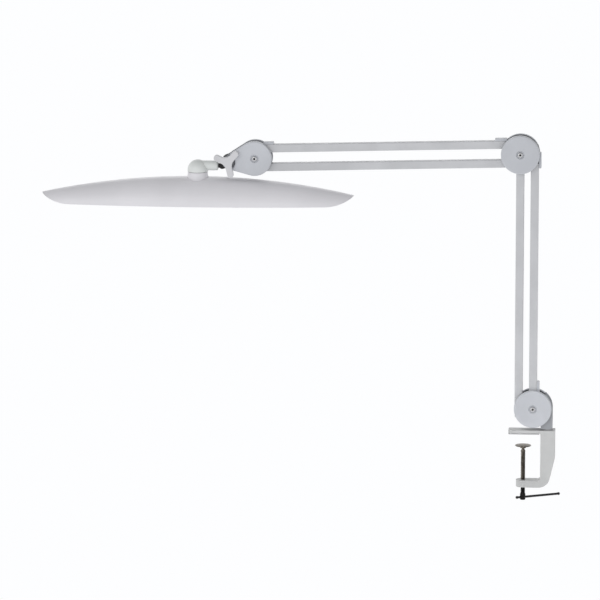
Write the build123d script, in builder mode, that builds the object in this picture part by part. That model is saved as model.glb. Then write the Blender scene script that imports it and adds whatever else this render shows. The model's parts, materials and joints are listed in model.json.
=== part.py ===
from build123d import *
from math import cos, radians, sin, sqrt
import os

# Swing arm task lamp for the edge of a desk: a screw clamp, a swivelling base, two parallelogram arms of
# square tube, and a long LED shade on a tilting, twisting and swivelling head. Millimetres, +Z up.
# The origin is on the clamp screw's axis at the underside of the top jaw, where the desk top touches it.
# X runs along the arms and the shade, with the shade towards -X, and the knob side of the lamp is -Y.

# Arms: square tubes on pivots. "outer" links are the ones furthest from the crook of the arms.
TUBE = 14.0
TUBE_WALL = 1.0
TUBE_CORNER = 1.5
LOWER_LENGTH = 458.0
UPPER_LENGTH = 439.0
UPPER_ANGLE = 181.55
BASE = (16.5, 45.7)
LOWER_STEP = (25.0, 12.0)
ELBOW = (BASE[0] - LOWER_STEP[0], BASE[1] - LOWER_STEP[1] + LOWER_LENGTH)
PIVOT_GAP = 32.8
ELBOW_OFFSET = -14.0
HEAD_OFFSET = 6.0
SHORT_END = 13.0
LONG_END = 28.0
EYE_RADIUS = 6.5
EYE_HALF = 6.5
TONGUE_LAYER = (1.0, 7.0)
PLUG = 11.8
PLUG_LENGTH = 20.0
CAP_HEIGHT = 4.2

# Pivot pins, and the clearance of an eye that turns on one or is left free
RIVET_RADIUS = 2.5
RIVET_HEAD = 3.2
SLEEVE_RADIUS = 3.0
BOLT_RADIUS = 2.45
BUTTON_RADIUS = 4.8
BUTTON_HEIGHT = 3.0
SOCKET_RADIUS = 2.1
SOCKET_DEPTH = 2.4
RUNNING = 0.05
FREE = 0.3

# Joint stacks, as distances from the lamp's middle plane
LINER = (7.3, 7.8)
PLATE = (7.8, 9.8)
COVER_FACE = 16.75
COVER_WALL = 1.6
COVER_BOSS = 8.6
COVER_EDGE = 2.2
RECESS_RADIUS = 7.2
RECESS_DEPTH = 1.8
BASE_RADIUS = 32.7
ELBOW_RADIUS = 33.4
HEAD_RADIUS = 30.0
PLATE_INSET = 1.4
RIVET_PROUD = 1.2

# Cord gland, low on the rear base cover
GLAND = (BASE[0] + 14, BASE[1] - 16)
GLAND_NECK = 3.6
GLAND_FLANGE = 5.0
GLAND_PROUD = 2.4
CORD_HOLE = 2.9

# Clamp
JAW_TIP = -25.7
WEB = (30.3, 55.5)
CLAMP_HALF = 12.0
PAD_THICKNESS = 2.4
JAW_CORNER = 2.0
JAW_TOP = 7.4
ARM_TOP = -82.0
ARM_BOTTOM = -94.0
SCREW_RADIUS = 4.0
SCREW_END = -118.0
PAD_RADIUS = 14.0
PAD_Z = -21.5
BAR_Z = -113.5
BAR_ANGLE = 27.0
BAR_ENDS = (-11.0, 69.0)
BAR_RADIUS = 2.0
SWIVEL_X = 42.0
SWIVEL_RADIUS = 6.0
BUSH_RADIUS = 8.0
SWIVEL_DEPTH = -24.0
FOOT = (30.5, 50.8, 9.6, 22.0)
PIN_TOP = FOOT[2] + 10
BRACKET_RADIUS = 34.3
SHOULDER_STEP = 21.5

# Head: tilt pivot in the bracket's neck, twist rod and swivel dome
TILT = (-513.0, 472.6)
NECK_RADIUS = 11.0
NECK_CUT = 12.0
KNOB_LOBES = (50.0, 155.0, 283.0)
KNOB_REACH = 20.7
LOBE_RADIUS = 5.4
KNOB_FACE = -25.0
KNOB_THICKNESS = 7.7
HUB_RADIUS = 7.5
HUB_BACK = -PLATE[1] - 0.3
STUD = (14.6, HUB_BACK - 9.7)
NUT_HEIGHT = 4.0
WASHER_RADIUS = 12.5
WASHER = (3.3, 7.5)
TONGUE_HALF = 3.0
TONGUE_RADIUS = 9.0
SPIGOT_RADIUS = 4.0
SPIGOT = (-540.5, -527.0)
ROD_Z = 465.0
ROD_RADIUS = 8.5
ROD_END = -531.0
SHADE_X = -567.0
ROD_START = SHADE_X + 9
BOSS_RADIUS = 17.3
BOSS_BASE = 438.0
BOSS_TOP = 453.7
BOSS_FLARE = 7.0
FLARE_TOP = 451.5
FLARE_ARC = 17.0
SEAM = 0.6
DOME_RADIUS = 17.7
DOME_Z = (BOSS_TOP + SEAM, 457.6)
SWIVEL_BOLT = (434.0, DOME_Z[0] + 12)
SWIVEL_BOLT_RADIUS = 4.0

# Shade: circular sections along a shallow arch, cut by a rim that curves up to the tips
RIM_Z = 398.8
CROWN = 46.8
HALF_WIDTH = 46.4
RIDGE_RADIUS = 1240.0
SIDE_RADIUS = 1560.0
SHADE_REACH = 274.0
RIM_FLAT = 222.0
RIM_ARC = 80.6
SHADE_WALL = 2.0
DIFFUSER = (0.9, 2.9)
TRAY_Z = 412.0
TRAY_THICKNESS = 1.2
TRAY_REACH = 236.0
POST_TOP = 434.6
TRAY_SCREW_RADIUS = 1.5
TRAY_SCREW_LENGTH = 12.0
BOARD_THICKNESS = 1.6
BOARD_Z = TRAY_Z - BOARD_THICKNESS
END_BOARD = 189.0
LED = (3.5, 2.8, 0.8)

HEAD = (
    ELBOW[0] + ELBOW_OFFSET + UPPER_LENGTH * cos(radians(UPPER_ANGLE)) - HEAD_OFFSET,
    ELBOW[1] + UPPER_LENGTH * sin(radians(UPPER_ANGLE)),
)
BASE_INNER = (BASE[0] - LOWER_STEP[0], BASE[1] - LOWER_STEP[1])
ELBOW_OUTER = (ELBOW[0] + LOWER_STEP[0], ELBOW[1] + LOWER_STEP[1])
ELBOW_TOP = (ELBOW[0] + ELBOW_OFFSET, ELBOW[1] + PIVOT_GAP / 2)
ELBOW_LOW = (ELBOW[0] + ELBOW_OFFSET, ELBOW[1] - PIVOT_GAP / 2)
HEAD_TOP = (HEAD[0] + HEAD_OFFSET, HEAD[1] + PIVOT_GAP / 2)
HEAD_LOW = (HEAD[0] + HEAD_OFFSET, HEAD[1] - PIVOT_GAP / 2)

os.makedirs("parts", exist_ok=True)


def save(piece, name):
    """Labels a finished piece and writes its STEP file."""
    piece.part.label = name
    export_step(piece.part, f"parts/{name}.step")


def side_plane(y, centre=(0, 0)):
    """The XZ plane at depth y, its origin at centre. What is extruded from it runs towards -Y."""
    return Plane(origin=(centre[0], y, centre[1]), x_dir=(1, 0, 0), z_dir=(0, -1, 0))


def link_plane(pivot, angle, y):
    """A side plane whose local x runs along a link from its pivot; the link's outer side is local -y."""
    along = (cos(radians(angle)), 0, sin(radians(angle)))
    return Plane(origin=(pivot[0], y, pivot[1]), x_dir=along, z_dir=(0, -1, 0))


def link_section(pivot, angle, distance):
    """The plane across a link at a distance from its pivot, with its normal along the link."""
    x, z = cos(radians(angle)), sin(radians(angle))
    origin = (pivot[0] + distance * x, 0, pivot[1] + distance * z)
    return Plane(origin=origin, x_dir=(0, 1, 0), z_dir=(x, 0, z))


# Arm pieces

def arm_tube(pivot, angle, start, end):
    """A square tube between two distances from the pivot."""
    inside = TUBE - 2 * TUBE_WALL
    with BuildPart() as tube:
        with BuildSketch(link_section(pivot, angle, start)):
            RectangleRounded(TUBE, TUBE, TUBE_CORNER)
            RectangleRounded(inside, inside, TUBE_CORNER - TUBE_WALL, mode=Mode.SUBTRACT)
        extrude(amount=end - start)
    return tube


def arm_ends(ends):
    """End fittings of one tube. Each is (pivot, angle, distance to the tube, eye's depths, hole radius)."""
    with BuildPart() as fittings:
        for pivot, angle, reach, (low, high), hole in ends:
            with BuildSketch(link_plane(pivot, angle, high)):
                Circle(EYE_RADIUS)
                with Locations((reach / 2, 0)):
                    Rectangle(reach, 2 * EYE_RADIUS)
            extrude(amount=high - low)
            with BuildSketch(link_section(pivot, angle, reach - 1)):
                Rectangle(PLUG, PLUG)
            extrude(amount=PLUG_LENGTH)
            with BuildSketch(link_plane(pivot, angle, high)):
                Circle(hole)
            extrude(amount=high - low, mode=Mode.SUBTRACT)
    return fittings


def wire_caps(pivot, angle, spans):
    """Raised caps on a tube's outer face that cover the lead where it crosses the joints."""
    with BuildPart() as caps:
        for start, end in spans:
            with BuildSketch(link_plane(pivot, angle, TUBE / 2)):
                with Locations(((start + end) / 2, -(TUBE + CAP_HEIGHT) / 2)):
                    Rectangle(end - start, CAP_HEIGHT)
            extrude(amount=TUBE)
        outward = Vector(sin(radians(angle)), 0, -cos(radians(angle)))
        outer = caps.faces().group_by(lambda face: face.center().dot(outward))[-1]
        fillet(outer.edges(), radius=1.2)
    return caps


def lead(pivot, angle, start, end):
    """The two-core lead that runs inside an outer tube, as two straight insulated wires."""
    with BuildPart() as wires:
        with BuildSketch(link_section(pivot, angle, start)):
            with Locations((-1.3, 0), (1.3, 0)):
                Circle(1.1)
        extrude(amount=end - start)
    return wires


def arm_spring(pivot, angle, start, turns):
    """A close-wound counterbalance spring on the axis of an inner tube, as a sleeve with a groove a turn."""
    pitch, inside, outside = 2.6, 3.2, 4.8
    ridges = [(start + pitch * (i + side), radius) for i in range(turns)
              for side, radius in ((0, outside - 0.9), (0.5, outside))]
    end = start + pitch * turns
    along = (cos(radians(angle)), 0, sin(radians(angle)))
    with BuildPart() as spring:
        with BuildSketch(link_plane(pivot, angle, 0)):
            with BuildLine():
                Polyline((start, inside), *ridges, (end, outside - 0.9), (end, inside), close=True)
            make_face()
        revolve(axis=Axis((pivot[0], 0, pivot[1]), along))
    return spring


def spring_rods(pivot, angle, spans):
    """Straight pull rods between a spring and the end fittings of its tube."""
    with BuildPart() as rods:
        for start, end in spans:
            with BuildSketch(link_section(pivot, angle, start)):
                Circle(1.0)
            extrude(amount=end - start)
            with BuildSketch(link_section(pivot, angle, start)):
                Circle(2.6)
            extrude(amount=1.5)
    return rods


full = (-EYE_HALF, EYE_HALF)
rear_layer = TONGUE_LAYER
front_layer = (-TONGUE_LAYER[1], -TONGUE_LAYER[0])
rivet_fit = RIVET_RADIUS + RUNNING

lower_outer_tube = arm_tube(BASE, 90, SHORT_END, LOWER_LENGTH - LONG_END)
lower_outer_ends = arm_ends([
    (BASE, 90, SHORT_END, full, SLEEVE_RADIUS + RUNNING),
    (ELBOW_OUTER, 270, LONG_END, rear_layer, rivet_fit),
])
lower_outer_caps = wire_caps(BASE, 90, [(SHORT_END, 47), (LOWER_LENGTH - 36, LOWER_LENGTH - 9)])
lower_lead = lead(BASE, 90, SHORT_END + PLUG_LENGTH, LOWER_LENGTH - LONG_END - PLUG_LENGTH)

lower_inner_tube = arm_tube(BASE_INNER, 90, SHORT_END, LOWER_LENGTH - LONG_END)
lower_inner_ends = arm_ends([
    (BASE_INNER, 90, SHORT_END, full, rivet_fit),
    (ELBOW, 270, LONG_END, rear_layer, SLEEVE_RADIUS + FREE),
])
lower_spring = arm_spring(BASE_INNER, 90, 120, 58)
lower_spring_rods = spring_rods(BASE_INNER, 90, [(33, 118), (279, LOWER_LENGTH - LONG_END - 20)])

upper_outer_tube = arm_tube(ELBOW_TOP, UPPER_ANGLE, SHORT_END, UPPER_LENGTH - SHORT_END)
upper_outer_ends = arm_ends([
    (ELBOW_TOP, UPPER_ANGLE, SHORT_END, front_layer, rivet_fit),
    (HEAD_TOP, UPPER_ANGLE + 180, SHORT_END, full, rivet_fit),
])
upper_outer_caps = wire_caps(ELBOW_TOP, UPPER_ANGLE, [(9, 29.6), (UPPER_LENGTH - 26.7, UPPER_LENGTH - 9)])
upper_lead = lead(ELBOW_TOP, UPPER_ANGLE, SHORT_END + PLUG_LENGTH, UPPER_LENGTH - SHORT_END - PLUG_LENGTH)

upper_inner_tube = arm_tube(ELBOW_LOW, UPPER_ANGLE, SHORT_END, UPPER_LENGTH - SHORT_END)
upper_inner_ends = arm_ends([
    (ELBOW_LOW, UPPER_ANGLE, SHORT_END, front_layer, rivet_fit),
    (HEAD_LOW, UPPER_ANGLE + 180, SHORT_END, full, RIVET_RADIUS + FREE),
])
upper_spring = arm_spring(ELBOW_LOW, UPPER_ANGLE, 110, 58)
upper_spring_rods = spring_rods(ELBOW_LOW, UPPER_ANGLE, [(33, 108), (269, UPPER_LENGTH - 34)])


# Joint pieces

def cover_outline(radius, neck, inset):
    """A cover's outline: a disc, which may run into a neck and stop short of the knob's hub."""
    Circle(radius - inset)
    if neck:
        with Locations(neck):
            Circle(NECK_RADIUS - inset)
        make_hull()
        with Locations(neck):
            Circle(NECK_CUT + inset, mode=Mode.SUBTRACT)


def joint_cover(centre, radius, side, gland=None, neck=None):
    """A moulded cover: flat face, rounded edge, recess for the bolt, and a boss that bears on the plate."""
    face, seat = side * COVER_FACE, side * PLATE[1]
    deep = COVER_FACE - PLATE[1]
    with BuildPart() as cover:
        with BuildSketch(side_plane(seat, centre)):
            cover_outline(radius, neck, 0)
        extrude(amount=-side * deep)
        if neck:
            horns = cover.edges().filter_by(Axis.Y).sort_by(Axis.X)[:2]
            fillet(horns, radius=3)
        fillet(cover.faces().sort_by(Axis.Y)[0 if side < 0 else -1].edges(), radius=COVER_EDGE)
        with BuildSketch(side_plane(seat, centre)):
            cover_outline(radius, neck, COVER_WALL)
            Circle(COVER_BOSS, mode=Mode.SUBTRACT)
        extrude(amount=-side * (deep - COVER_WALL), mode=Mode.SUBTRACT)
        with BuildSketch(side_plane(face, centre)):
            Circle(RECESS_RADIUS)
        extrude(amount=side * RECESS_DEPTH, taper=25, mode=Mode.SUBTRACT)
        with BuildSketch(side_plane(face, centre)):
            Circle(SLEEVE_RADIUS + RUNNING)
        extrude(amount=side * deep, mode=Mode.SUBTRACT)
        if gland:
            with BuildSketch(side_plane(face, gland)):
                Circle(GLAND_NECK)
            extrude(amount=side * deep, mode=Mode.SUBTRACT)
    return cover


def joint_bolt(centre):
    """Button head bolt from the front and its sleeve nut from the rear, whose sleeve is the central pin."""
    head = COVER_FACE - RECESS_DEPTH
    sleeve = head + PLATE[1]
    with BuildPart() as pair:
        with BuildSketch(side_plane(head, centre)):
            Circle(BUTTON_RADIUS)
        extrude(amount=-BUTTON_HEIGHT)
        fillet(pair.faces().sort_by(Axis.Y)[-1].edges(), radius=2.4)
        with BuildSketch(side_plane(head, centre)):
            Circle(SLEEVE_RADIUS)
        extrude(amount=sleeve)
        with BuildSketch(side_plane(head - 2, centre)):
            Circle(BOLT_RADIUS + RUNNING)
        extrude(amount=sleeve - 2, mode=Mode.SUBTRACT)
        with BuildSketch(side_plane(-head, centre)):
            Circle(BUTTON_RADIUS)
        extrude(amount=BUTTON_HEIGHT)
        fillet(pair.faces().sort_by(Axis.Y)[0].edges(), radius=2.4)
        with BuildSketch(side_plane(-head - BUTTON_HEIGHT, centre)):
            RegularPolygon(SOCKET_RADIUS, 6)
        extrude(amount=-SOCKET_DEPTH, mode=Mode.SUBTRACT)
        with BuildSketch(side_plane(-head, centre)):
            Circle(BOLT_RADIUS)
        extrude(amount=-24)
    return pair


def joint_rivets(centres):
    """Pivot rivets across both plates, with a flat head on each."""
    with BuildPart() as rivets:
        for centre in centres:
            with BuildSketch(side_plane(PLATE[1] + RIVET_PROUD, centre)):
                Circle(RIVET_RADIUS)
            extrude(amount=2 * (PLATE[1] + RIVET_PROUD))
            for y in (PLATE[1] + RIVET_PROUD, -PLATE[1]):
                with BuildSketch(side_plane(y, centre)):
                    Circle(RIVET_HEAD)
                extrude(amount=RIVET_PROUD)
    return rivets


def joint_liners(centre, radius, holes):
    """Thin fibre discs between the plates and the moving tubes."""
    with BuildPart() as liners:
        for y in (LINER[1], -LINER[0]):
            with BuildSketch(side_plane(y, centre)):
                Circle(radius)
                Circle(SLEEVE_RADIUS, mode=Mode.SUBTRACT)
            extrude(amount=LINER[1] - LINER[0])
        for hole in holes:
            with BuildSketch(side_plane(LINER[1], hole)):
                Circle(RIVET_RADIUS)
            extrude(amount=2 * LINER[1], mode=Mode.SUBTRACT)
    return liners


base_cover_front = joint_cover(BASE, BASE_RADIUS, -1)
base_cover_rear = joint_cover(BASE, BASE_RADIUS, 1, gland=GLAND)
base_bolt = joint_bolt(BASE)
base_rivet = joint_rivets([BASE_INNER])
base_liners = joint_liners(BASE, BASE_RADIUS - PLATE_INSET, [BASE_INNER])

elbow_pins = [ELBOW_OUTER, ELBOW_TOP, ELBOW_LOW]
elbow_cover_front = joint_cover(ELBOW, ELBOW_RADIUS, -1)
elbow_cover_rear = joint_cover(ELBOW, ELBOW_RADIUS, 1)
elbow_bolt = joint_bolt(ELBOW)
elbow_rivets = joint_rivets(elbow_pins)
elbow_liners = joint_liners(ELBOW, ELBOW_RADIUS - PLATE_INSET, elbow_pins)

neck = (TILT[0] - HEAD[0], TILT[1] - HEAD[1])
head_cover_front = joint_cover(HEAD, HEAD_RADIUS, -1, neck=neck)
head_cover_rear = joint_cover(HEAD, HEAD_RADIUS, 1, neck=neck)
head_bolt = joint_bolt(HEAD)
head_rivets = joint_rivets([HEAD_TOP, HEAD_LOW])

with BuildPart() as elbow_plates:
    for y in (PLATE[1], -PLATE[0]):
        with BuildSketch(side_plane(y, ELBOW)):
            Circle(ELBOW_RADIUS - PLATE_INSET)
            Circle(SLEEVE_RADIUS, mode=Mode.SUBTRACT)
        extrude(amount=PLATE[1] - PLATE[0])
    for pin in elbow_pins:
        with BuildSketch(side_plane(PLATE[1], pin)):
            Circle(RIVET_RADIUS)
        extrude(amount=2 * PLATE[1], mode=Mode.SUBTRACT)

# Teardrop plates that narrow from the head joint to the tilt pivot
with BuildPart() as head_bracket:
    for y in (PLATE[1], -PLATE[0]):
        with BuildSketch(side_plane(y)):
            with Locations(HEAD):
                Circle(HEAD_RADIUS - 0.4)
            with Locations(TILT):
                Circle(NECK_RADIUS)
            make_hull()
            with Locations(HEAD):
                Circle(SLEEVE_RADIUS, mode=Mode.SUBTRACT)
            with Locations(HEAD_TOP, HEAD_LOW):
                Circle(RIVET_RADIUS, mode=Mode.SUBTRACT)
            with Locations(TILT):
                Circle(SLEEVE_RADIUS + 2 * RUNNING, mode=Mode.SUBTRACT)
        extrude(amount=PLATE[1] - PLATE[0])

# Cast base bracket: two cheeks with a foot that stands on the swivel
with BuildPart() as base_bracket:
    for y in (PLATE[1], -PLATE[0]):
        with BuildSketch(side_plane(y)):
            with Locations(BASE):
                Circle(BRACKET_RADIUS)
            with Locations((BASE[0] + SHOULDER_STEP, BASE[1])):
                Rectangle(BRACKET_RADIUS, BRACKET_RADIUS, align=(Align.MIN, Align.MIN), mode=Mode.INTERSECT)
            with Locations(BASE):
                Circle(BASE_RADIUS - PLATE_INSET)
            with Locations((FOOT[0], FOOT[2])):
                Rectangle(FOOT[1] - FOOT[0], BASE[1] - FOOT[2], align=(Align.MIN, Align.MIN))
            with Locations(BASE):
                Circle(SLEEVE_RADIUS, mode=Mode.SUBTRACT)
            with Locations(BASE_INNER):
                Circle(RIVET_RADIUS, mode=Mode.SUBTRACT)
        extrude(amount=PLATE[1] - PLATE[0])
    with BuildSketch(side_plane(PLATE[1])):
        with Locations((FOOT[0], FOOT[2])):
            Rectangle(FOOT[1] - FOOT[0], FOOT[3] - FOOT[2], align=(Align.MIN, Align.MIN))
    extrude(amount=2 * PLATE[1])
    with BuildSketch(side_plane(LINER[1], BASE)):
        Circle(BASE_RADIUS - PLATE_INSET)
    extrude(amount=2 * LINER[1], mode=Mode.SUBTRACT)
    with BuildSketch(Plane.XY.offset(FOOT[2])):
        with Locations((SWIVEL_X, 0)):
            Circle(SWIVEL_RADIUS)
    extrude(amount=PIN_TOP - FOOT[2], mode=Mode.SUBTRACT)

with BuildPart() as cord_gland:
    with BuildSketch(side_plane(COVER_FACE, GLAND)):
        Circle(GLAND_NECK)
    extrude(amount=COVER_WALL)
    with BuildSketch(side_plane(COVER_FACE, GLAND)):
        Circle(GLAND_FLANGE)
    extrude(amount=-GLAND_PROUD)
    fillet(cord_gland.faces().sort_by(Axis.Y)[-1].edges(), radius=1.0)
    with BuildSketch(side_plane(COVER_FACE + GLAND_PROUD, GLAND)):
        Circle(CORD_HOLE)
    extrude(amount=GLAND_PROUD + COVER_WALL, mode=Mode.SUBTRACT)


# Clamp

# C-shaped casting: thin top jaw, deep web that takes the swivel pin, and a threaded bottom arm
with BuildPart() as clamp_body:
    with BuildSketch(side_plane(CLAMP_HALF)):
        with BuildLine():
            Polyline(
                (JAW_TIP, JAW_TOP), (WEB[1], JAW_TOP), (WEB[1], -42), (43, ARM_BOTTOM),
                (-CLAMP_HALF, ARM_BOTTOM), (-CLAMP_HALF, ARM_TOP), (WEB[0], ARM_TOP),
                (WEB[0], PAD_THICKNESS), (JAW_TIP, PAD_THICKNESS), close=True,
            )
        make_face()
    extrude(amount=2 * CLAMP_HALF)
    upright = clamp_body.edges().filter_by(Axis.Y)
    right = upright.group_by(Axis.X)[-1].sort_by(Axis.Z)[0]
    heel = upright.group_by(Axis.Z)[0].sort_by(Axis.X)[-1]
    fillet(right, radius=30)
    fillet(heel, radius=20)
    inner = clamp_body.edges().filter_by(Axis.Y).filter_by_position(Axis.X, WEB[0] - 0.1, WEB[0] + 0.1)
    fillet(inner.sort_by(Axis.Z)[0], radius=5)
    fillet(inner.sort_by(Axis.Z)[-1], radius=JAW_CORNER)
    nose = clamp_body.edges().filter_by(Axis.Z).filter_by_position(Axis.X, -12.1, -11.9)
    fillet(nose, radius=CLAMP_HALF - 0.5)
    tip = clamp_body.edges().filter_by(Axis.Z).filter_by_position(Axis.X, JAW_TIP - 0.1, JAW_TIP + 0.1)
    fillet(tip, radius=3)
    with BuildSketch(Plane.XY.offset(ARM_BOTTOM)):
        Circle(SCREW_RADIUS + RUNNING)
    extrude(amount=ARM_TOP - ARM_BOTTOM, mode=Mode.SUBTRACT)
    with BuildSketch(Plane.XY.offset(SWIVEL_DEPTH)):
        with Locations((SWIVEL_X, 0)):
            Circle(BUSH_RADIUS)
    extrude(amount=JAW_TOP - SWIVEL_DEPTH, mode=Mode.SUBTRACT)

with BuildPart() as jaw_pad:
    with BuildSketch():
        with Locations((JAW_TIP, 0)):
            pad_length = WEB[0] - JAW_CORNER - JAW_TIP
            Rectangle(pad_length, 2 * CLAMP_HALF, align=(Align.MIN, Align.CENTER))
    extrude(amount=PAD_THICKNESS)
    pad_corners = jaw_pad.edges().filter_by(Axis.Z).sort_by(Axis.X)[:2]
    fillet(pad_corners, radius=3)
    fillet(jaw_pad.faces().sort_by(Axis.X)[0].edges().filter_by(Axis.Y), radius=0.9)

with BuildPart() as clamp_bush:
    with BuildSketch(Plane.XY.offset(SWIVEL_DEPTH)):
        with Locations((SWIVEL_X, 0)):
            Circle(BUSH_RADIUS)
            Circle(SWIVEL_RADIUS + RUNNING, mode=Mode.SUBTRACT)
    extrude(amount=JAW_TOP - SWIVEL_DEPTH)

with BuildPart() as thrust_washer:
    with BuildSketch(Plane.XY.offset(JAW_TOP)):
        with Locations((SWIVEL_X, 0)):
            Circle(8.7)
            Circle(SWIVEL_RADIUS + RUNNING, mode=Mode.SUBTRACT)
    extrude(amount=1.9)

with BuildPart() as swivel_pin:
    with BuildSketch(Plane.XY.offset(SWIVEL_DEPTH + 1)):
        with Locations((SWIVEL_X, 0)):
            Circle(SWIVEL_RADIUS)
    extrude(amount=PIN_TOP - SWIVEL_DEPTH - 1)
    chamfer(swivel_pin.faces().sort_by(Axis.Z)[0].edges(), length=1)

# Screw with a narrow neck and ball under the pad, and a cross hole near its lower end
with BuildPart() as clamp_screw:
    with BuildSketch(Plane.XZ):
        with BuildLine():
            Polyline(
                (0, PAD_Z - 1.4), (2.4, PAD_Z - 1.4), (2.4, PAD_Z - 7), (SCREW_RADIUS, PAD_Z - 9),
                (SCREW_RADIUS, SCREW_END + 11), (4.8, SCREW_END + 10), (4.8, SCREW_END + 0.8),
                (4.0, SCREW_END), (0, SCREW_END), close=True,
            )
        make_face()
    revolve(axis=Axis.Z)
    bar_across = Plane(
        origin=(0, 0, BAR_Z),
        x_dir=(-sin(radians(BAR_ANGLE)), cos(radians(BAR_ANGLE)), 0),
        z_dir=(cos(radians(BAR_ANGLE)), sin(radians(BAR_ANGLE)), 0),
    )
    with BuildSketch(bar_across):
        Circle(BAR_RADIUS + RUNNING)
    extrude(amount=6, both=True, mode=Mode.SUBTRACT)

with BuildPart() as tommy_bar:
    with BuildSketch(bar_across.offset(BAR_ENDS[0])):
        Circle(BAR_RADIUS)
    extrude(amount=BAR_ENDS[1] - BAR_ENDS[0])
    for end in BAR_ENDS:
        with Locations(bar_across.offset(end)):
            Sphere(2.6)

# Dished pressure pad, thin at the rim and thick at the socket that holds the screw's end
with BuildPart() as pressure_pad:
    with BuildSketch(Plane.XZ):
        with BuildLine():
            Polyline(
                (0, PAD_Z + 2.2), (5, PAD_Z + 2.2), (PAD_RADIUS - 0.5, PAD_Z + 0.7), (PAD_RADIUS, PAD_Z),
                (PAD_RADIUS - 0.5, PAD_Z - 0.7), (5.6, PAD_Z - 1.8), (5, PAD_Z - 4.4), (2.45, PAD_Z - 4.4),
                (2.45, PAD_Z - 1.3), (0, PAD_Z - 1.3), close=True,
            )
        make_face()
    revolve(axis=Axis.Z)


# Head: knob, stud, washers, tongue, rod and dome

with BuildPart() as tilt_knob:
    with BuildSketch(side_plane(KNOB_FACE + KNOB_THICKNESS, TILT)):
        for angle in KNOB_LOBES:
            with PolarLocations(KNOB_REACH / 2, 1, start_angle=angle):
                Rectangle(KNOB_REACH, 2 * LOBE_RADIUS)
            with PolarLocations(KNOB_REACH, 1, start_angle=angle):
                Circle(LOBE_RADIUS)
        crotches = [corner for corner in vertices() if corner.distance_to(Vertex(0, 0, 0)) < 8]
        fillet(crotches, radius=14)
    extrude(amount=KNOB_THICKNESS)
    fillet(tilt_knob.faces().sort_by(Axis.Y)[0].edges(), radius=1.4)
    with BuildSketch(side_plane(HUB_BACK, TILT)):
        Circle(HUB_RADIUS)
    extrude(amount=HUB_BACK - KNOB_FACE - KNOB_THICKNESS)
    with BuildSketch(side_plane(HUB_BACK, TILT)):
        Circle(SLEEVE_RADIUS)
    extrude(amount=HUB_BACK - STUD[1] + 0.3, mode=Mode.SUBTRACT)

with BuildPart() as tilt_stud:
    with BuildSketch(side_plane(STUD[0], TILT)):
        Circle(SLEEVE_RADIUS)
    extrude(amount=STUD[0] - STUD[1])
    chamfer(tilt_stud.faces().sort_by(Axis.Y)[-1].edges(), length=0.6)

with BuildPart() as tilt_nut:
    with BuildSketch(side_plane(PLATE[1] + NUT_HEIGHT, TILT)):
        RegularPolygon(6.0, 6)
        Circle(SLEEVE_RADIUS + RUNNING, mode=Mode.SUBTRACT)
    extrude(amount=NUT_HEIGHT)

with BuildPart() as tilt_washers:
    for y in (WASHER[1], -WASHER[0]):
        with BuildSketch(side_plane(y, TILT)):
            Circle(WASHER_RADIUS)
            Circle(SLEEVE_RADIUS + 2 * RUNNING, mode=Mode.SUBTRACT)
        extrude(amount=WASHER[1] - WASHER[0])

# Cranked tongue: an eye on the tilt stud and a spigot that carries the rod
with BuildPart() as tilt_tongue:
    with BuildSketch(side_plane(TONGUE_HALF)):
        with Locations(TILT):
            Circle(TONGUE_RADIUS)
        with Locations((SPIGOT[1] + 2.6, ROD_Z + 0.4)):
            Circle(6.0)
        make_hull()
        with Locations(TILT):
            Circle(SLEEVE_RADIUS + 2 * RUNNING, mode=Mode.SUBTRACT)
    extrude(amount=2 * TONGUE_HALF)
    with BuildSketch(Plane.YZ.offset(SPIGOT[0])):
        with Locations((0, ROD_Z)):
            Circle(SPIGOT_RADIUS)
    extrude(amount=SPIGOT[1] - SPIGOT[0])

with BuildPart() as knuckle_rod:
    with BuildSketch(Plane.YZ.offset(ROD_START)):
        with Locations((0, ROD_Z)):
            Circle(ROD_RADIUS)
    extrude(amount=ROD_END - ROD_START)
    fillet(knuckle_rod.faces().sort_by(Axis.X)[-1].edges(), radius=3.6)
    with BuildSketch(Plane.YZ.offset(SPIGOT[0] - 0.4)):
        with Locations((0, ROD_Z)):
            Circle(SPIGOT_RADIUS + RUNNING)
    extrude(amount=ROD_END - SPIGOT[0] + 0.4, mode=Mode.SUBTRACT)

with BuildPart() as knuckle_dome:
    with BuildSketch(side_plane(0, (SHADE_X, 0))):
        with BuildLine():
            top, brim = (0, DOME_Z[1] + DOME_RADIUS), (DOME_RADIUS, DOME_Z[1])
            Polyline(top, (0, DOME_Z[0]), (DOME_RADIUS, DOME_Z[0]), brim)
            RadiusArc(brim, top, -DOME_RADIUS)
        make_face()
    revolve(axis=Axis((SHADE_X, 0, 0), (0, 0, 1)))
    fillet(knuckle_dome.faces().sort_by(Axis.Z)[0].edges(), radius=0.6)
    with BuildSketch(Plane.YZ.offset(ROD_START)):
        with Locations((0, ROD_Z)):
            Circle(ROD_RADIUS)
    extrude(amount=DOME_RADIUS, mode=Mode.SUBTRACT)
    with BuildSketch(Plane.XY.offset(DOME_Z[0])):
        with Locations((SHADE_X, 0)):
            Circle(SWIVEL_BOLT_RADIUS)
    extrude(amount=SWIVEL_BOLT[1] - DOME_Z[0], mode=Mode.SUBTRACT)

with BuildPart() as swivel_bolt:
    with BuildSketch(Plane.XY.offset(SWIVEL_BOLT[0])):
        with Locations((SHADE_X, 0)):
            Circle(SWIVEL_BOLT_RADIUS)
    extrude(amount=SWIVEL_BOLT[1] - SWIVEL_BOLT[0])

with BuildPart() as swivel_nut:
    with BuildSketch(Plane.XY.offset(SWIVEL_BOLT[0] + 1.5)):
        with Locations((SHADE_X, 0)):
            RegularPolygon(7.5, 6)
            Circle(SWIVEL_BOLT_RADIUS, mode=Mode.SUBTRACT)
    extrude(amount=6)

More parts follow.
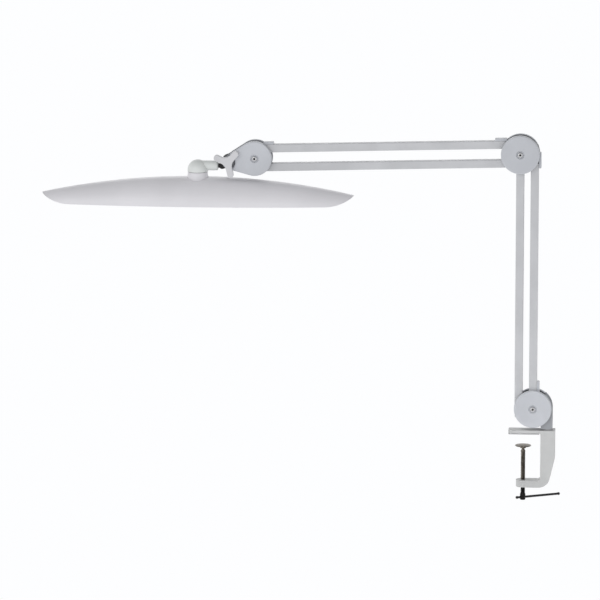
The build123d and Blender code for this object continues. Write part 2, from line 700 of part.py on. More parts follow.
with BuildPart() as swivel_washer:
    with BuildSketch(Plane.XY.offset(BOSS_TOP)):
        with Locations((SHADE_X, 0)):
            Circle(BOSS_RADIUS - 0.9)
            Circle(SWIVEL_BOLT_RADIUS + 2 * RUNNING, mode=Mode.SUBTRACT)
    extrude(amount=SEAM)


# Shade

def sagitta(reach, radius):
    """How far a circle of this radius falls away at a distance from its crown."""
    return radius - sqrt(radius**2 - reach**2)


def shade_body(inset):
    """A slender body of circular sections; inset draws its whole surface in, for the hollow inside."""
    stations = 9
    with BuildPart() as body:
        for i in range(stations):
            x = SHADE_REACH * (2 * i / (stations - 1) - 1)
            height = CROWN - sagitta(x, RIDGE_RADIUS)
            width = HALF_WIDTH - sagitta(x, SIDE_RADIUS)
            radius = (height**2 + width**2) / (2 * height)
            with BuildSketch(Plane.YZ.offset(SHADE_X + x)):
                with Locations((0, RIM_Z + height - radius)):
                    Circle(radius - inset)
        loft()
    return body


def rim_region(low, high):
    """Sketch edges between the rim curve raised by low and by high, in X and Z."""
    edge = SHADE_REACH + 8
    for side in (-1, 1):
        ends = []
        for rise in (low, high):
            radius = RIM_ARC - rise
            start = (SHADE_X + side * RIM_FLAT, RIM_Z + rise)
            end = (SHADE_X + side * edge, RIM_Z + RIM_ARC - sqrt(radius**2 - (edge - RIM_FLAT) ** 2))
            RadiusArc(start, end, -side * radius)
            ends.append(end)
        Line(ends[0], ends[1])
    for rise in (low, high):
        Line((SHADE_X - RIM_FLAT, RIM_Z + rise), (SHADE_X + RIM_FLAT, RIM_Z + rise))


shade_outside = shade_body(0)
shade_hollow = shade_body(SHADE_WALL)
shade_inside = shade_body(SHADE_WALL + 0.15)
POSTS = [(SHADE_X + x, y) for x in (-143, 143) for y in (-12, 12)]
CUTTER = 60.0

with BuildPart() as shade_housing:
    add(shade_outside.part)
    add(shade_hollow.part, mode=Mode.SUBTRACT)
    with BuildSketch(Plane.XY.offset(TRAY_Z + TRAY_THICKNESS)):
        with Locations(*POSTS):
            Circle(3.4)
    extrude(amount=POST_TOP - TRAY_Z - TRAY_THICKNESS)
    with BuildSketch(side_plane(CUTTER)):
        with BuildLine():
            rim_region(-CUTTER, 0)
        make_face()
    extrude(amount=2 * CUTTER, mode=Mode.SUBTRACT)
    with BuildSketch(Plane.XY.offset(BOSS_TOP)):
        with Locations((SHADE_X, 0)):
            Circle(SWIVEL_BOLT_RADIUS + RUNNING)
    extrude(amount=SWIVEL_BOLT[0] - BOSS_TOP, mode=Mode.SUBTRACT)
    with BuildSketch(Plane.XY.offset(TRAY_Z)):
        with Locations(*POSTS):
            Circle(TRAY_SCREW_RADIUS)
    extrude(amount=TRAY_SCREW_LENGTH + 1, mode=Mode.SUBTRACT)

# Collar with a flared foot that sits on the crown and carries the dome
with BuildPart() as shade_collar:
    with BuildSketch(side_plane(0, (SHADE_X, 0))):
        with BuildLine():
            bore, flare = SWIVEL_BOLT_RADIUS + RUNNING, BOSS_RADIUS + BOSS_FLARE
            Polyline(
                (BOSS_RADIUS, FLARE_TOP), (BOSS_RADIUS, BOSS_TOP), (bore, BOSS_TOP),
                (bore, BOSS_BASE), (flare, BOSS_BASE),
            )
            RadiusArc((flare, BOSS_BASE), (BOSS_RADIUS, FLARE_TOP), FLARE_ARC)
        make_face()
    revolve(axis=Axis((SHADE_X, 0, 0), (0, 0, 1)))
    add(shade_outside.part, mode=Mode.SUBTRACT)

with BuildPart() as diffuser:
    add(shade_inside.part)
    with BuildSketch(side_plane(CUTTER)):
        with BuildLine():
            rim_region(*DIFFUSER)
        make_face()
    extrude(amount=2 * CUTTER, mode=Mode.INTERSECT)

with BuildPart() as led_tray:
    add(shade_inside.part)
    with BuildSketch(Plane.XY.offset(TRAY_Z)):
        with Locations((SHADE_X, 0)):
            Rectangle(2 * TRAY_REACH, 2 * CUTTER)
        with Locations(*POSTS):
            Circle(TRAY_SCREW_RADIUS, mode=Mode.SUBTRACT)
    extrude(amount=TRAY_THICKNESS, mode=Mode.INTERSECT)

# One wide board in the middle and a narrow one at each end, with their LEDs in rows
with BuildPart() as led_boards:
    with BuildSketch(Plane.XY.offset(BOARD_Z)):
        with Locations((SHADE_X, 0)):
            Rectangle(280, 62)
        with Locations((SHADE_X - END_BOARD, 0), (SHADE_X + END_BOARD, 0)):
            Rectangle(86, 34)
    extrude(amount=BOARD_THICKNESS)

with BuildPart() as leds:
    with BuildSketch(Plane.XY.offset(BOARD_Z - LED[2])):
        with Locations((SHADE_X, 0)):
            with GridLocations(18.6, 12.6, 15, 5):
                Rectangle(LED[0], LED[1])
        for x in (-END_BOARD, END_BOARD):
            with Locations((SHADE_X + x, 0)):
                with GridLocations(12.2, 11.0, 7, 3):
                    Rectangle(LED[0], LED[1])
    extrude(amount=LED[2])

with BuildPart() as tray_screws:
    with BuildSketch(Plane.XY.offset(TRAY_Z)):
        with Locations(*POSTS):
            Circle(TRAY_SCREW_RADIUS)
    extrude(amount=TRAY_SCREW_LENGTH)
    with BuildSketch(Plane.XY.offset(TRAY_Z - 1.6)):
        with Locations(*POSTS):
            Circle(2.6)
    extrude(amount=1.6)

with BuildPart() as led_driver:
    with BuildSketch(Plane.XY.offset(TRAY_Z + TRAY_THICKNESS)):
        with Locations((SHADE_X + 78, 0)):
            Rectangle(96, 30)
    extrude(amount=15)
    fillet(led_driver.edges().filter_by(Axis.Z), radius=2)

save(clamp_body, "clamp_body")
save(jaw_pad, "jaw_pad")
save(clamp_bush, "clamp_bush")
save(thrust_washer, "thrust_washer")
save(clamp_screw, "clamp_screw")
save(pressure_pad, "pressure_pad")
save(tommy_bar, "tommy_bar")
save(swivel_pin, "swivel_pin")
save(base_bracket, "base_bracket")
save(base_cover_front, "base_cover_front")
save(base_cover_rear, "base_cover_rear")
save(base_bolt, "base_bolt")
save(base_rivet, "base_rivet")
save(base_liners, "base_liners")
save(cord_gland, "cord_gland")
save(lower_outer_tube, "lower_outer_tube")
save(lower_outer_ends, "lower_outer_ends")
save(lower_outer_caps, "lower_outer_caps")
save(lower_lead, "lower_lead")
save(lower_inner_tube, "lower_inner_tube")
save(lower_inner_ends, "lower_inner_ends")
save(lower_spring, "lower_spring")
save(lower_spring_rods, "lower_spring_rods")
save(elbow_plates, "elbow_plates")
save(elbow_cover_front, "elbow_cover_front")
save(elbow_cover_rear, "elbow_cover_rear")
save(elbow_bolt, "elbow_bolt")
save(elbow_rivets, "elbow_rivets")
save(elbow_liners, "elbow_liners")
save(upper_outer_tube, "upper_outer_tube")
save(upper_outer_ends, "upper_outer_ends")
save(upper_outer_caps, "upper_outer_caps")
save(upper_lead, "upper_lead")
save(upper_inner_tube, "upper_inner_tube")
save(upper_inner_ends, "upper_inner_ends")
save(upper_spring, "upper_spring")
save(upper_spring_rods, "upper_spring_rods")
save(head_bracket, "head_bracket")
save(head_cover_front, "head_cover_front")
save(head_cover_rear, "head_cover_rear")
save(head_bolt, "head_bolt")
save(head_rivets, "head_rivets")
save(tilt_washers, "tilt_washers")
save(tilt_nut, "tilt_nut")
save(tilt_knob, "tilt_knob")
save(tilt_stud, "tilt_stud")
save(tilt_tongue, "tilt_tongue")
save(knuckle_rod, "knuckle_rod")
save(knuckle_dome, "knuckle_dome")
save(swivel_bolt, "swivel_bolt")
save(swivel_nut, "swivel_nut")
save(swivel_washer, "swivel_washer")
save(shade_housing, "shade_housing")
save(shade_collar, "shade_collar")
save(diffuser, "diffuser")
save(led_tray, "led_tray")
save(led_boards, "led_boards")
save(leds, "leds")
save(tray_screws, "tray_screws")
save(led_driver, "led_driver")
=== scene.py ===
import json
import math

import bmesh
import bpy
from mathutils import Matrix, Vector


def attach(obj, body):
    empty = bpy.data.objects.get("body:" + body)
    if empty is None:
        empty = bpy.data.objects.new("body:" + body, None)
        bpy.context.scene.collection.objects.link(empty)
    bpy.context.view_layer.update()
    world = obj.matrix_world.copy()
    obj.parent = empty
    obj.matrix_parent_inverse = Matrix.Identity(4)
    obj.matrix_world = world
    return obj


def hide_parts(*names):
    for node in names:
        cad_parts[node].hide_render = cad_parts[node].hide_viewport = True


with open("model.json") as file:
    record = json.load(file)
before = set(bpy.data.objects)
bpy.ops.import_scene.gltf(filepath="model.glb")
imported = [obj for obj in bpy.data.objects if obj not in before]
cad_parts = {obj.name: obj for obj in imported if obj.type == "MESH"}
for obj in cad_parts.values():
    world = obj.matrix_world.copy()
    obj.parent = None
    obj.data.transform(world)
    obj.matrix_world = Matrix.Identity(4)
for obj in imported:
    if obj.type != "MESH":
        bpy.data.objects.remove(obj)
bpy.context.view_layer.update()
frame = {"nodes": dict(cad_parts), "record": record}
nodes = frame["nodes"]
scene = bpy.context.scene

# Places that the looks need, in metres: the same as in the part
SHADE_X = -0.567
BOLTS = {
    "base_bolt": (0.0165, 0.0457),
    "elbow_bolt": (-0.0085, 0.4917),
    "head_bolt": (-0.46734, 0.47983),
}
SOCKET_EDGE = (0.0026, 0.0022)
SOCKET_FACE = (0.01785, 0.0176)
SCREW_TOP = -0.0229
SCREW_END = -0.118
SCREW_BLACK = (-0.090, -0.094)
BAR_Z = -0.1135
BAR_ANGLE = math.radians(27.0)
BAR_HOLE = 0.00205

# Light fields behind the diffuser, from the shade's middle: (outside, inside) along it, then across it
MIDDLE_GLOW = ((0.168, 0.128), (0.041, 0.027))
MIDDLE_LEDS = ((0.140, 0.1385), (0.0325, 0.031))
END_GLOW = ((0.262, 0.232), (0.034, 0.014))
END_LEDS = ((0.233, 0.231), (0.018, 0.016))
END_START = (0.145, 0.147)
END_CENTRE = 0.189
MIDDLE_PITCH = (0.0186, 0.0126)
END_PITCH = (0.0122, 0.0110)
LED_SPOT = (0.0052, 0.0012)

# Thread of the clamp screw
THREAD_PITCH = 0.0015
THREAD_CREST = 0.0040
THREAD_ROOT = 0.0032
THREAD_TOP = -0.0320
THREAD_BOTTOM = -0.1060
THREAD_FLANK = 1.35
THREAD_FLAT = 0.12
RINGS_PER_TURN = 10
THREAD_SIDES = 36
CREASE = math.radians(50.0)

# The screw's plain ends: (radius, distance below its top), and (radius, height)
TIP_PROFILE = ((0.0006, 0.0), (0.0020, 0.0003), (0.0024, 0.0010), (0.0024, 0.0050), (THREAD_CREST, 0.0076))
COLLAR_TOP = -0.1066
COLLAR_PROFILE = ((0.0041, COLLAR_TOP), (0.0046, -0.1072), (0.0048, -0.1079), (0.0048, -0.1166),
                  (0.0047, -0.1172), (0.0040, SCREW_END))
COLLAR_SIDES = 48
DRILL_SIDES = 32
DRILL_LENGTH = 0.014

# Studio
FLOOR_Z = -6.0
FLOOR_HALF = 3.0
FLOOR_GLOW = 0.62
SKY_COLOUR = (0.985, 0.99, 1.0, 1)
SKY_LOW = 1.0
SKY_HIGH = 0.38
SKY_LEAN = 0.18
SKY_FADE = (0.20, 0.85)
LIGHT_AIM = (-0.35, 0, 0.3)
SPOT_PLACE = (-0.10, -0.85, 0.85)
SPOT_AIM = (0.02, 0.0, 0.0)
SPOT_ANGLE = math.radians(9.0)
CAMERA_LENS = 300.0
CAMERA_TARGET = Vector((-0.3895, 0.0, 0.2302))
CAMERA_AZIMUTH = math.radians(4.4)
CAMERA_ELEVATION = math.radians(10.5)
CAMERA_DISTANCE = 8.687


# Materials

class Tree:
    """A new material's node tree, with short ways to add maths to it."""

    MIX_A, MIX_B, MIX_RESULT = 6, 7, 2

    def __init__(self, name):
        self.material = bpy.data.materials.new(name)
        self.material.use_nodes = True
        self.nodes = self.material.node_tree.nodes
        self.links = self.material.node_tree.links
        self.shader = self.nodes["Principled BSDF"]
        self.place = self.nodes.new("ShaderNodeTexCoord").outputs["Object"]

    def put(self, value, socket):
        """Links a socket to another, or sets its value."""
        if isinstance(value, bpy.types.NodeSocket):
            self.links.new(value, socket)
        else:
            socket.default_value = value

    def set(self, name, value):
        """Links or sets one of the shader's inputs."""
        self.put(value, self.shader.inputs[name])

    def axes(self):
        """The place's X, Y and Z."""
        split = self.nodes.new("ShaderNodeSeparateXYZ")
        self.links.new(self.place, split.inputs[0])
        return split.outputs["X"], split.outputs["Y"], split.outputs["Z"]

    def math(self, operation, a, b=0.0, c=0.0, clamp=False):
        node = self.nodes.new("ShaderNodeMath")
        node.operation = operation
        node.use_clamp = clamp
        for value, socket in zip((a, b, c), node.inputs):
            self.put(value, socket)
        return node.outputs[0]

    def length(self, a, b):
        """The length of the line that has these two sides."""
        squares = [self.math("POWER", side, 2.0) for side in (a, b)]
        return self.math("SQRT", self.math("ADD", *squares))

    def fade(self, value, start, end, low=0.0, high=1.0):
        """Runs smoothly from low to high as value goes from start to end."""
        node = self.nodes.new("ShaderNodeMapRange")
        node.interpolation_type = "SMOOTHSTEP"
        self.put(value, node.inputs["Value"])
        for name, number in (("From Min", start), ("From Max", end), ("To Min", low), ("To Max", high)):
            node.inputs[name].default_value = number
        return node.outputs["Result"]

    def noise(self, scale, detail=3.0, roughness=0.55, stretch=None):
        node = self.nodes.new("ShaderNodeTexNoise")
        place = self.place
        if stretch:
            mapping = self.nodes.new("ShaderNodeMapping")
            mapping.inputs["Scale"].default_value = stretch
            self.links.new(place, mapping.inputs["Vector"])
            place = mapping.outputs["Vector"]
        self.links.new(place, node.inputs["Vector"])
        node.inputs["Scale"].default_value = scale
        node.inputs["Detail"].default_value = detail
        node.inputs["Roughness"].default_value = roughness
        return node.outputs["Fac"]

    def mix(self, factor, a, b):
        """Mixes two colours."""
        node = self.nodes.new("ShaderNodeMix")
        node.data_type = "RGBA"
        self.put(factor, node.inputs["Factor"])
        self.put(a, node.inputs[self.MIX_A])
        self.put(b, node.inputs[self.MIX_B])
        return node.outputs[self.MIX_RESULT]

    def edges(self, radius):
        """(normal with its edges rounded off, how sharp the edge is here from 0 to 1)."""
        bevel = self.nodes.new("ShaderNodeBevel")
        bevel.samples = 6
        bevel.inputs["Radius"].default_value = radius
        flat = self.nodes.new("ShaderNodeNewGeometry").outputs["Normal"]
        dot = self.nodes.new("ShaderNodeVectorMath")
        dot.operation = "DOT_PRODUCT"
        self.links.new(bevel.outputs["Normal"], dot.inputs[0])
        self.links.new(flat, dot.inputs[1])
        return bevel.outputs["Normal"], self.fade(dot.outputs["Value"], 0.99, 0.75)

    def bump(self, height, distance, strength, normal=None):
        node = self.nodes.new("ShaderNodeBump")
        node.inputs["Distance"].default_value = distance
        node.inputs["Strength"].default_value = strength
        self.links.new(height, node.inputs["Height"])
        if normal:
            self.links.new(normal, node.inputs["Normal"])
        return node.outputs["Normal"]


def shade_of(colour, factor):
    return tuple(min(1.0, channel * factor) for channel in colour[:3]) + (1.0,)


def coating(name, colour, roughness, grain=900.0, depth=0.00004, edge=0.0006, wear=0.25, worn=None,
            metallic=0.0, variation=0.05, stretch=None):
    """Paint, plastic or plated metal: faint tone changes, orange peel or grain, softened and worn edges."""
    tree = Tree(name)
    tone = tree.noise(14.0, 4.0)
    fine = tree.noise(grain, 2.0, 0.5, stretch)
    speck = tree.noise(330.0, 3.0, 0.7)
    dark, light = shade_of(colour, 1 - variation), shade_of(colour, 1 + variation)
    base = tree.mix(tree.fade(tone, 0.35, 0.65), dark, light)
    base = tree.mix(tree.fade(speck, 0.66, 0.74, 0.0, 0.35), base, shade_of(colour, 0.86))
    normal, sharp = tree.edges(edge)
    broken = tree.math("MULTIPLY", sharp, tree.fade(speck, 0.42, 0.6, 0.15, wear))
    tree.set("Base Color", tree.mix(broken, base, worn or shade_of(colour, 1.25)))
    rough = tree.fade(tree.noise(60.0, 4.0), 0.3, 0.7, roughness * 0.85, roughness * 1.15)
    tree.set("Roughness", rough)
    tree.set("Metallic", metallic)
    tree.set("Normal", tree.bump(fine, depth, 0.5, normal))
    return tree.material


def screw_steel(name):
    """Oily brown plated steel that is nearly black below the clamp's arm."""
    tree = Tree(name)
    _, _, height = tree.axes()
    smear = tree.noise(90.0, 4.0, 0.7, (1, 1, 0.25))
    base = tree.mix(tree.fade(smear, 0.35, 0.65), (0.055, 0.047, 0.038, 1), (0.26, 0.235, 0.20, 1))
    reach = tree.math("ADD", height, tree.math("MULTIPLY", smear, 0.004))
    base = tree.mix(tree.fade(reach, *SCREW_BLACK), base, (0.012, 0.011, 0.011, 1))
    normal, sharp = tree.edges(0.0004)
    worn = tree.math("MULTIPLY", sharp, tree.fade(smear, 0.45, 0.65, 0.1, 0.6))
    tree.set("Base Color", tree.mix(worn, base, (0.42, 0.39, 0.34, 1)))
    tree.set("Roughness", tree.fade(smear, 0.3, 0.7, 0.28, 0.46))
    tree.set("Metallic", 0.85)
    tree.set("Normal", tree.bump(tree.noise(500.0), 0.00003, 0.5, normal))
    return tree.material


def bolt_chrome(name, centre):
    """Polished plating on a joint's bolt, with painted shade in its socket."""
    tree = Tree(name)
    x, y, z = tree.axes()
    distance = tree.length(tree.math("SUBTRACT", x, centre[0]), tree.math("SUBTRACT", z, centre[1]))
    depth = tree.math("ABSOLUTE", y)
    # Mask of the hex socket, painted nearly black as painted shade for the deep recess
    inside = tree.math("MULTIPLY", tree.fade(distance, *SOCKET_EDGE), tree.fade(depth, *SOCKET_FACE))
    brushed = tree.fade(tree.noise(300.0, 3.0), 0.3, 0.7)
    bright = tree.mix(brushed, (0.50, 0.50, 0.51, 1), (0.66, 0.66, 0.67, 1))
    tree.set("Base Color", tree.mix(inside, bright, (0.006, 0.006, 0.007, 1)))
    tree.set("Roughness", tree.fade(brushed, 0.0, 1.0, 0.06, 0.12))
    tree.set("Metallic", 1.0)
    tree.set("Normal", tree.edges(0.0003)[0])
    return tree.material


def lit_diffuser(name):
    """Frosted sheet with the LEDs' glow behind it, in a wide middle field and two narrower ends, on a grey
    base of painted shade.
    """
    tree = Tree(name)
    x, y, _ = tree.axes()
    along = tree.math("SUBTRACT", x, SHADE_X)
    reach = tree.math("ABSOLUTE", along)
    off = tree.math("ABSOLUTE", y)

    def field(length_fade, width_fade):
        """1 inside a field of light and 0 outside it."""
        return tree.math("MULTIPLY", tree.fade(reach, *length_fade), tree.fade(off, *width_fade))

    def dots(position, pitch, shift):
        """Round spots on a grid."""
        sides = []
        for value, step in zip((tree.math("SUBTRACT", position, shift), y), pitch):
            cell = tree.math("WRAP", tree.math("DIVIDE", value, step), 0.5, -0.5)
            sides.append(tree.math("MULTIPLY", cell, step))
        return tree.fade(tree.length(*sides), *LED_SPOT)

    glow = tree.math("MAXIMUM", field(*MIDDLE_GLOW), field(*END_GLOW))
    in_ends = tree.math("MULTIPLY", field(*END_LEDS), tree.fade(reach, *END_START))
    spots = tree.math(
        "ADD",
        tree.math("MULTIPLY", dots(along, MIDDLE_PITCH, 0.0), field(*MIDDLE_LEDS)),
        tree.math("MULTIPLY", dots(reach, END_PITCH, END_CENTRE), in_ends),
    )
    haze = tree.fade(tree.noise(26.0, 3.0), 0.3, 0.7, 0.94, 1.0)
    level = tree.math("MULTIPLY", tree.math("MULTIPLY_ADD", glow, 0.60, 0.02), haze)
    level = tree.math("ADD", level, tree.math("MULTIPLY", spots, 0.40), clamp=True)
    tree.set("Emission Color", tree.mix(level, (0, 0, 0, 1), (0.88, 1.0, 0.98, 1)))
    tree.set("Emission Strength", 1.0)
    # Grey base: painted shade for the dark inside of the shade, seen through the sheet where no LED lights
    # it
    tree.set("Base Color", (0.30, 0.31, 0.315, 1))
    tree.set("Roughness", 0.42)
    tree.set("Normal", tree.bump(tree.noise(2200.0, 2.0), 0.00002, 0.4))
    return tree.material


def led_phosphor(name, colour):
    """An LED's glowing face, brighter in the middle of its grain."""
    tree = Tree(name)
    grain = tree.fade(tree.noise(900.0), 0.3, 0.7, 0.8, 1.0)
    tree.set("Base Color", tree.mix(grain, shade_of(colour, 0.85), colour))
    tree.set("Emission Color", tree.mix(grain, shade_of(colour, 0.8), colour))
    tree.set("Emission Strength", 1.0)
    tree.set("Roughness", 0.4)
    return tree.material


# Each of the record's material slots but the bolts' chrome
materials = {
    "arm_paint": coating("arm_powder_coat", (0.545, 0.550, 0.568, 1), 0.40),
    "cast_paint": coating("cast_powder_coat", (0.520, 0.524, 0.522, 1), 0.46, grain=620.0, depth=0.00009,
                          edge=0.0012, wear=0.3),
    # Darker than the arms' paint: painted shade for the brackets' place between the covers
    "bracket_paint": coating("bracket_paint", (0.31, 0.32, 0.34, 1), 0.42),
    "cover_plastic": coating("cover_plastic", (0.530, 0.545, 0.580, 1), 0.36, grain=1500.0, depth=0.00002,
                             edge=0.0008),
    "shade_plastic": coating("shade_plastic", (0.750, 0.740, 0.768, 1), 0.34, grain=1300.0, depth=0.00002,
                             edge=0.0009, variation=0.02),
    "knuckle_paint": coating("knuckle_paint", (0.740, 0.765, 0.750, 1), 0.36, grain=1000.0),
    "knob_plastic": coating("knob_plastic", (0.600, 0.600, 0.620, 1), 0.38, grain=1300.0, depth=0.00003,
                            edge=0.0008),
    "pad_plastic": coating("jaw_pad_plastic", (0.42, 0.42, 0.43, 1), 0.5, grain=700.0),
    "black_plastic": coating("black_plastic", (0.025, 0.025, 0.028, 1), 0.42, worn=(0.10, 0.10, 0.10, 1)),
    "black_steel": coating("blackened_steel", (0.020, 0.019, 0.020, 1), 0.34, metallic=0.6, grain=420.0,
                           wear=0.8, worn=(0.26, 0.25, 0.24, 1), edge=0.0004),
    "dark_steel": screw_steel("phosphated_steel"),
    "zinc_steel": coating("zinc_plate", (0.42, 0.42, 0.43, 1), 0.28, metallic=1.0, stretch=(1, 1, 0.1),
                          edge=0.0004),
    "end_plastic": coating("end_plastic", (0.40, 0.41, 0.42, 1), 0.45),
    "spring_steel": coating("spring_steel", (0.32, 0.32, 0.33, 1), 0.30, metallic=1.0),
    "wire": coating("wire_sleeve", (0.62, 0.62, 0.62, 1), 0.45),
    "diffuser": lit_diffuser("frosted_diffuser"),
    "tray": coating("tray_plate", (0.72, 0.72, 0.72, 1), 0.35, metallic=0.4),
    "board": coating("circuit_board", (0.75, 0.76, 0.74, 1), 0.3),
    "led": led_phosphor("led_phosphor", (0.95, 0.92, 0.70, 1)),
    "driver": coating("driver_case", (0.70, 0.70, 0.70, 1), 0.5),
}


def coat_nodes():
    """Gives every CAD node the material of its slot in the record, or its own if it is a joint's bolt."""
    bolts = {name: bolt_chrome(f"chrome_{name}", centre) for name, centre in BOLTS.items()}
    for entry in frame["record"]["subparts"]:
        node = nodes[entry["node"]]
        node.data.materials.clear()
        node.data.materials.append(bolts.get(entry["node"]) or materials[entry["material_slot"]])


coat_nodes()


# Clamp screw

def new_mesh(bm, name):
    """Turns a bmesh into a mesh and frees it."""
    mesh = bpy.data.meshes.new(name)
    bm.to_mesh(mesh)
    bm.free()
    return mesh


def lathe(profile, sides, name, lift=None):
    """A closed turned mesh about Z. lift(radius, z, angle) may change the radius round a ring."""
    bm = bmesh.new()
    rings = []
    for radius, z in profile:
        ring = []
        for i in range(sides):
            angle = 2 * math.pi * i / sides
            r = lift(radius, z, angle) if lift else radius
            ring.append(bm.verts.new((r * math.cos(angle), r * math.sin(angle), z)))
        rings.append(ring)
    for upper, lower in zip(rings, rings[1:]):
        for i in range(sides):
            j = (i + 1) % sides
            bm.faces.new((upper[i], lower[i], lower[j], upper[j]))
    bm.faces.new(rings[0])
    bm.faces.new(rings[-1][::-1])
    return new_mesh(bm, name)


def thread_radius(radius, z, angle):
    """A rolled 60 degree thread with a rounded root and crest, which runs out at both ends."""
    if not THREAD_BOTTOM <= z <= THREAD_TOP:
        return radius
    phase = (z / THREAD_PITCH - angle / (2 * math.pi)) % 1.0
    ridge = min(1.0, max(0.0, (1.0 - abs(2.0 * phase - 1.0)) * THREAD_FLANK - THREAD_FLAT))
    ridge = ridge * ridge * (3.0 - 2.0 * ridge)
    run_out = min(1.0, (THREAD_TOP - z) / THREAD_PITCH, (z - THREAD_BOTTOM) / THREAD_PITCH)
    return THREAD_CREST - (THREAD_CREST - THREAD_ROOT) * (1.0 - ridge) * run_out


def threaded_rod():
    """The screw's domed tip, neck and helical thread."""
    step = THREAD_PITCH / RINGS_PER_TURN
    count = int(round((THREAD_TOP - THREAD_BOTTOM) / step))
    profile = [(radius, SCREW_TOP - drop) for radius, drop in TIP_PROFILE]
    profile += [(THREAD_CREST, THREAD_TOP - step * i) for i in range(count + 1)]
    return lathe(profile + [(THREAD_CREST, COLLAR_TOP)], THREAD_SIDES, "rod", thread_radius)


def drilled_collar():
    """The collar at the screw's lower end, with the tommy bar's hole through it."""
    bm = bmesh.new()
    bmesh.ops.create_cone(bm, cap_ends=True, segments=DRILL_SIDES, radius1=BAR_HOLE, radius2=BAR_HOLE,
                          depth=DRILL_LENGTH)
    turn = Matrix.Rotation(BAR_ANGLE, 4, "Z") @ Matrix.Rotation(math.radians(90), 4, "Y")
    bmesh.ops.transform(bm, matrix=Matrix.Translation((0, 0, BAR_Z)) @ turn, verts=bm.verts)
    collar = bpy.data.objects.new("collar", lathe(COLLAR_PROFILE, COLLAR_SIDES, "collar"))
    drill = bpy.data.objects.new("drill", new_mesh(bm, "drill"))
    scene.collection.objects.link(collar)
    scene.collection.objects.link(drill)
    cut = collar.modifiers.new("cut", "BOOLEAN")
    cut.operation, cut.object, cut.solver = "DIFFERENCE", drill, "EXACT"
    drilled = bpy.data.meshes.new_from_object(collar.evaluated_get(bpy.context.evaluated_depsgraph_get()))
    bpy.data.objects.remove(collar)
    bpy.data.objects.remove(drill)
    return drilled


def clamp_screw():
    """The clamp screw with its real thread, which stands for the plain one and turns with its body."""
    bm = bmesh.new()
    bm.from_mesh(threaded_rod())
    bm.from_mesh(drilled_collar())
    mesh = new_mesh(bm, "threaded_screw")
    mesh.update()
    screw = bpy.data.objects.new("clamp_screw_threaded", mesh)
    scene.collection.objects.link(screw)
    mesh.materials.append(materials["dark_steel"])
    mesh.shade_smooth()
    mesh.set_sharp_from_angle(angle=CREASE)
    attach(screw, "screw")
    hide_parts("clamp_screw")


clamp_screw()


# Studio

def studio_floor():
    """A wide pale floor a long way down, lit by its own faint glow so that it stays even."""
    bm = bmesh.new()
    bmesh.ops.create_grid(bm, x_segments=8, y_segments=8, size=FLOOR_HALF)
    mesh = new_mesh(bm, "floor")
    floor = bpy.data.objects.new("studio_floor", mesh)
    floor.location = (CAMERA_TARGET.x, 0, FLOOR_Z)
    scene.collection.objects.link(floor)
    tree = Tree("floor_paper")
    tone = tree.fade(tree.noise(0.6), 0.3, 0.7, 0.985, 1.0)
    tree.set("Base Color", tree.mix(tone, (0.86, 0.86, 0.86, 1), (0.90, 0.90, 0.90, 1)))
    tree.set("Emission Color", (1, 1, 1, 1))
    tree.set("Emission Strength", FLOOR_GLOW)
    tree.set("Roughness", 0.8)
    tree.set("Specular IOR Level", 0.0)
    mesh.materials.append(tree.material)


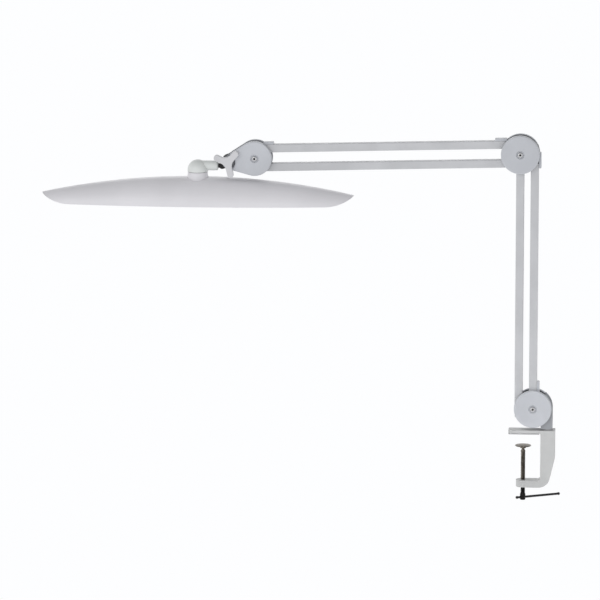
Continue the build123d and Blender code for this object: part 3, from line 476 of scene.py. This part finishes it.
def studio_world():
    """White all round, less bright from above and from above on the right."""
    world = bpy.data.worlds.new("studio")
    world.use_nodes = True
    sky_nodes, links = world.node_tree.nodes, world.node_tree.links
    split = sky_nodes.new("ShaderNodeSeparateXYZ")
    links.new(sky_nodes.new("ShaderNodeTexCoord").outputs["Generated"], split.inputs[0])
    lean = sky_nodes.new("ShaderNodeMath")
    lean.operation = "MULTIPLY_ADD"
    links.new(split.outputs["X"], lean.inputs[0])
    lean.inputs[1].default_value = SKY_LEAN
    links.new(split.outputs["Z"], lean.inputs[2])
    height = sky_nodes.new("ShaderNodeMapRange")
    height.interpolation_type = "SMOOTHSTEP"
    height.inputs["From Min"].default_value, height.inputs["From Max"].default_value = SKY_FADE
    height.inputs["To Min"].default_value, height.inputs["To Max"].default_value = SKY_LOW, SKY_HIGH
    links.new(lean.outputs[0], height.inputs["Value"])
    background = sky_nodes["Background"]
    background.inputs["Color"].default_value = SKY_COLOUR
    links.new(height.outputs["Result"], background.inputs["Strength"])
    scene.world = world


def hang(name, data, place, aim):
    """Places a light so that it looks at a point."""
    lamp = bpy.data.objects.new(name, data)
    lamp.location = place
    lamp.rotation_mode = "QUATERNION"
    lamp.rotation_quaternion = (Vector(aim) - Vector(place)).to_track_quat("-Z", "Y")
    scene.collection.objects.link(lamp)


def softbox(name, place, size, power, aim=LIGHT_AIM):
    """A rectangular area light."""
    data = bpy.data.lights.new(name, "AREA")
    data.shape = "RECTANGLE"
    data.size, data.size_y = size
    data.energy = power
    hang(name, data, place, aim)


def clamp_spot():
    """A narrow soft spot that picks out the clamp's top faces."""
    data = bpy.data.lights.new("clamp_spot", "SPOT")
    data.energy = 24.0
    data.spot_size = SPOT_ANGLE
    data.spot_blend = 0.9
    data.shadow_soft_size = 0.12
    hang("clamp_spot", data, SPOT_PLACE, SPOT_AIM)


def studio():
    studio_floor()
    studio_world()
    softbox("key", (-1.9, -2.6, 1.5), (1.6, 1.6), 8.0)
    softbox("fill", (1.8, -2.2, 0.3), (1.4, 1.8), 0.5, (-0.35, 0, 0.25))
    clamp_spot()
    softbox("back", (-0.2, 2.8, 1.6), (2.4, 1.2), 6.0)


def place_camera():
    """A long lens, which keeps the lamp's upright and level lines nearly parallel."""
    data = bpy.data.cameras.new("camera")
    data.lens = CAMERA_LENS
    data.sensor_width = 36.0
    data.clip_end = 400.0
    camera = bpy.data.objects.new("camera", data)
    back = Vector((
        math.sin(CAMERA_AZIMUTH) * math.cos(CAMERA_ELEVATION),
        -math.cos(CAMERA_AZIMUTH) * math.cos(CAMERA_ELEVATION),
        math.sin(CAMERA_ELEVATION),
    ))
    camera.location = CAMERA_TARGET + back * CAMERA_DISTANCE
    camera.rotation_mode = "QUATERNION"
    camera.rotation_quaternion = (-back).to_track_quat("-Z", "Y")
    scene.collection.objects.link(camera)
    scene.camera = camera
    scene.view_settings.view_transform = "Standard"


studio()
place_camera()
